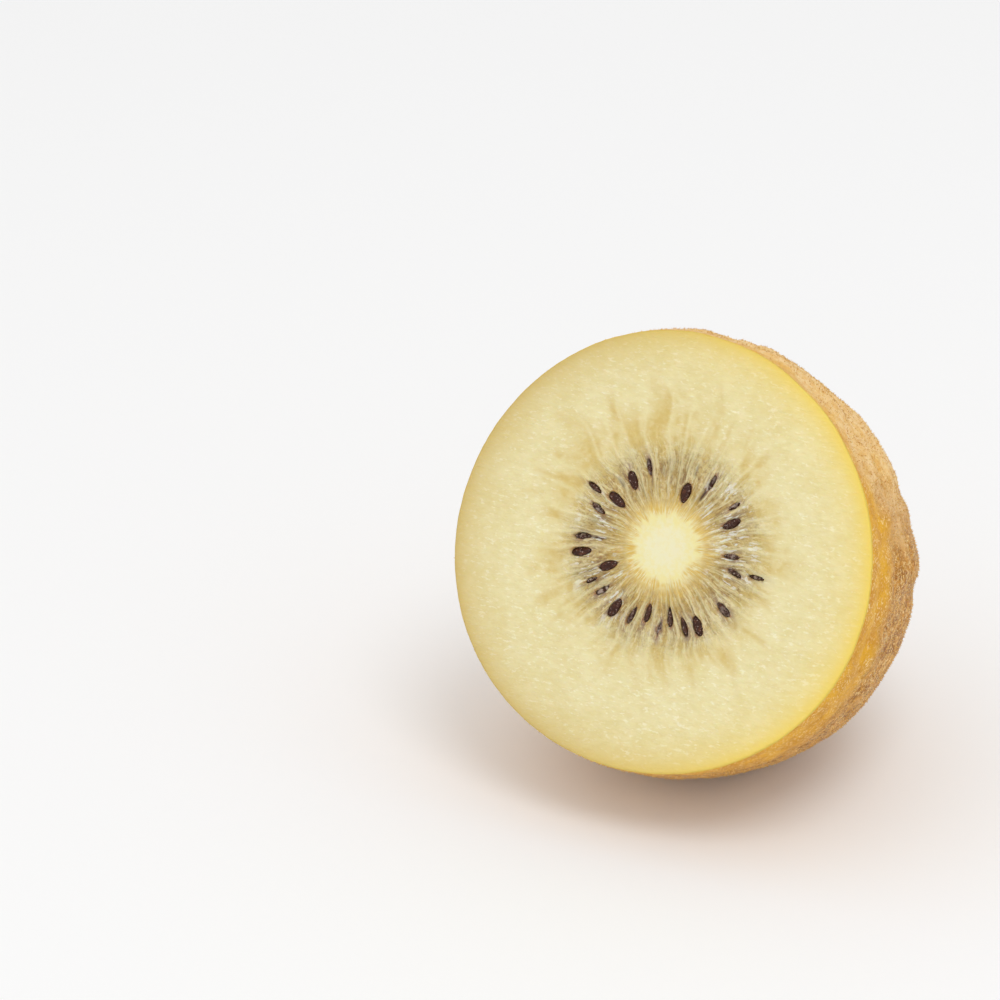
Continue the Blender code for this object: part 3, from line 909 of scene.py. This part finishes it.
stylesSettings = {
    "armLengths": (5.2, 3.6, 4.6, 3.1, 5.0, 3.8, 4.2, 3.3, 4.8),
    "strandsPerArm": 4,
    "armSpread": 0.16,
    "armRise": (0.1, 0.55),
    "armCurl": 0.28,
    "stubs": 26,
    "stubLengths": (0.5, 1.5),
    "stubRise": (0.3, 0.9),
    "stubCurl": 0.9,
    "stubStout": 1.3,
    "steps": 9,
    "sides": 6,
    "thick": 0.17,
    "clearance": 0.12,        # between a strand's line and the skin
    "wobble": 0.10,
    "dark": (84, 52, 32),
    "light": (168, 120, 74),
}


def blossomPoint(radius, bearing, lift):
    # a place so far from the blossom end's middle and so far above its skin
    across = np.clip(radius / fruitRadius, 0.0, 0.99)
    along = (1.0 - across ** outline["fullness"]) ** (1.0 / outline["fullness"])
    depth = outline["widestDepth"] + outline["endLength"] * along
    point, _ = fruitSurface(np.array([depth]), np.array([bearing]), lift=lift)
    return point[0]


def strandPath(rng, bearing, start, length, rise, curl):
    path = []
    for step in range(stylesSettings["steps"]):
        share = step / (stylesSettings["steps"] - 1)
        radius = start + share * length
        lift = stylesSettings["clearance"] + rise * math.sin(share * math.pi * 0.8)
        lift = lift + stylesSettings["wobble"] * rng.random()
        path.append(blossomPoint(radius, bearing + curl * share ** 1.5, lift))
    return np.array(path)


def tube(path, thick, sides):
    # rings round a path, narrowing to its end, with both ends closed to a point
    way = np.gradient(path, axis=0)
    way /= np.linalg.norm(way, axis=1, keepdims=True)
    side = np.cross(way, (0.31, 0.72, 0.62))  # a direction that no strand takes
    side /= np.linalg.norm(side, axis=1, keepdims=True)
    other = np.cross(way, side)
    count = len(path)
    width = thick * np.linspace(1.0, 0.35, count)[:, None, None]
    turn = np.linspace(0.0, 2.0 * math.pi, sides, endpoint=False)[None, :, None]
    rings = path[:, None] + width * (np.cos(turn) * side[:, None] + np.sin(turn) * other[:, None])
    points = np.concatenate((rings.reshape(-1, 3), path[:1] - 0.5 * thick * way[:1],
                             path[-1:] + 0.5 * thick * way[-1:]))
    faces = ringFaces(count, sides)
    faces += fanFaces(count * sides, 0, sides, True)
    faces += fanFaces(count * sides + 1, (count - 1) * sides, sides, False)
    return points, faces


def makeStyles(material):
    rng = np.random.default_rng(37)
    points, faces = [], []
    arms = stylesSettings["armLengths"]
    strands = []
    for index, length in enumerate(arms):
        for _ in range(stylesSettings["strandsPerArm"]):
            bearing = 2.0 * math.pi * index / len(arms)
            bearing = bearing + rng.normal(0.0, stylesSettings["armSpread"])
            strands.append((bearing, rng.uniform(0.1, 0.9), length * rng.uniform(0.5, 0.95),
                            rng.uniform(*stylesSettings["armRise"]),
                            rng.normal(0.0, stylesSettings["armCurl"]), 1.0))
    for _ in range(stylesSettings["stubs"]):
        strands.append((rng.uniform(0.0, 6.28), rng.uniform(0.0, 0.9),
                        rng.uniform(*stylesSettings["stubLengths"]),
                        rng.uniform(*stylesSettings["stubRise"]),
                        rng.normal(0.0, stylesSettings["stubCurl"]),
                        stylesSettings["stubStout"]))
    for bearing, start, length, rise, curl, stout in strands:
        path = strandPath(rng, bearing, start, length, rise, curl)
        made, quads = tube(path, stylesSettings["thick"] * stout * rng.uniform(0.6, 1.1),
                           stylesSettings["sides"])
        offset = sum(len(part) for part in points)
        points.append(made)
        faces += [tuple(corner + offset for corner in face) for face in quads]
    styles = meshObject("dried_styles_tuft", np.concatenate(points), faces, material)
    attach(styles, "root")
    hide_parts("dried_styles")
    return styles


def stylesMaterial():
    material, tree, shader = startMaterial("dry brown strands")
    place = objectPlace(tree)
    colour = blendColours(tree, span(tree, grain(tree, place, 0.6, 4.0, 0.65), 0.35, 0.7),
                          linear(*stylesSettings["dark"]), linear(*stylesSettings["light"]))
    tree.links.new(colour, shader.inputs["Base Color"])
    bump = addNode(tree, "ShaderNodeBump", {"Strength": 0.6, "Distance": 0.00005,
                                            "Height": grain(tree, place, 0.15, 2.0)})
    tree.links.new(bump.outputs[0], shader.inputs["Normal"])
    shader.inputs["Roughness"].default_value = 0.8
    return material


makeStyles(stylesMaterial())
print("dried styles made")


stage = {
    "floorColour": (0.97, 0.97, 0.97, 1.0),
    "floorReach": 3.0,
    "worldStrength": 0.82,
    "keyFrom": (0.28, -0.30, 0.80),
    "keySize": 0.40,
    "keyPower": 1.5,
    "fillFrom": (-0.60, -0.55, 0.35),
    "fillSize": 0.70,
    "fillPower": 0.2,
    "aimHeight": 0.025,       # of the point that the lamps face
    "cameraBearing": 22.2,
    "cameraElevation": 27.8,
    "cameraDistance": 0.52,
    "lens": 162.0,
    "lookAside": -19.1,       # millimetres from the middle of the core, as the camera sees it
    "lookAbove": 5.2,
}


def addFloor():
    mesh = bpy.data.meshes.new("floor")
    reach = stage["floorReach"]
    mesh.from_pydata([(-reach, -reach, 0), (reach, -reach, 0), (reach, reach, 0),
                      (-reach, reach, 0)], [], [(0, 1, 2, 3)])
    material, _, shader = startMaterial("pale floor")
    shader.inputs["Base Color"].default_value = stage["floorColour"]
    shader.inputs["Roughness"].default_value = 0.9
    shader.inputs["Specular IOR Level"].default_value = 0.1
    mesh.materials.append(material)
    floor = bpy.data.objects.new("floor", mesh)
    bpy.context.scene.collection.objects.link(floor)


def addLight(name, place, size, power):
    lamp = bpy.data.lights.new(name, "AREA")
    lamp.shape = "DISK"
    lamp.size = size
    lamp.energy = power
    thing = bpy.data.objects.new(name, lamp)
    thing.location = place
    aim = Vector((0.0, 0.0, stage["aimHeight"])) - Vector(place)
    thing.rotation_euler = aim.to_track_quat("-Z", "Y").to_euler()
    bpy.context.scene.collection.objects.link(thing)


def addWorld():
    world = bpy.data.worlds.new("soft white room")
    world.use_nodes = True
    background = world.node_tree.nodes["Background"]
    background.inputs["Color"].default_value = (1.0, 1.0, 1.0, 1.0)
    background.inputs["Strength"].default_value = stage["worldStrength"]
    bpy.context.scene.world = world


def addCamera():
    bearing = math.radians(stage["cameraBearing"])
    lift = math.radians(stage["cameraElevation"])
    back = Vector((math.sin(bearing) * math.cos(lift), -math.cos(bearing) * math.cos(lift),
                   math.sin(lift)))
    right = Vector((math.cos(bearing), math.sin(bearing), 0.0))
    above = back.cross(right)
    lens = bpy.data.cameras.new("camera")
    lens.lens = stage["lens"]
    lens.sensor_width = 36.0
    lens.clip_start = 0.01
    camera = bpy.data.objects.new("camera", lens)
    middle = fruitFrame.translation
    camera.location = middle + back * stage["cameraDistance"]
    target = middle + right * stage["lookAside"] * mm + above * stage["lookAbove"] * mm
    camera.rotation_euler = (target - camera.location).to_track_quat("-Z", "Y").to_euler()
    bpy.context.scene.collection.objects.link(camera)
    bpy.context.scene.camera = camera


addFloor()
addLight("key", stage["keyFrom"], stage["keySize"], stage["keyPower"])
addLight("fill", stage["fillFrom"], stage["fillSize"], stage["fillPower"])
addWorld()
addCamera()
bpy.context.scene.view_settings.view_transform = "Standard"
print("stage ready")

bpy.context.view_layer.update()
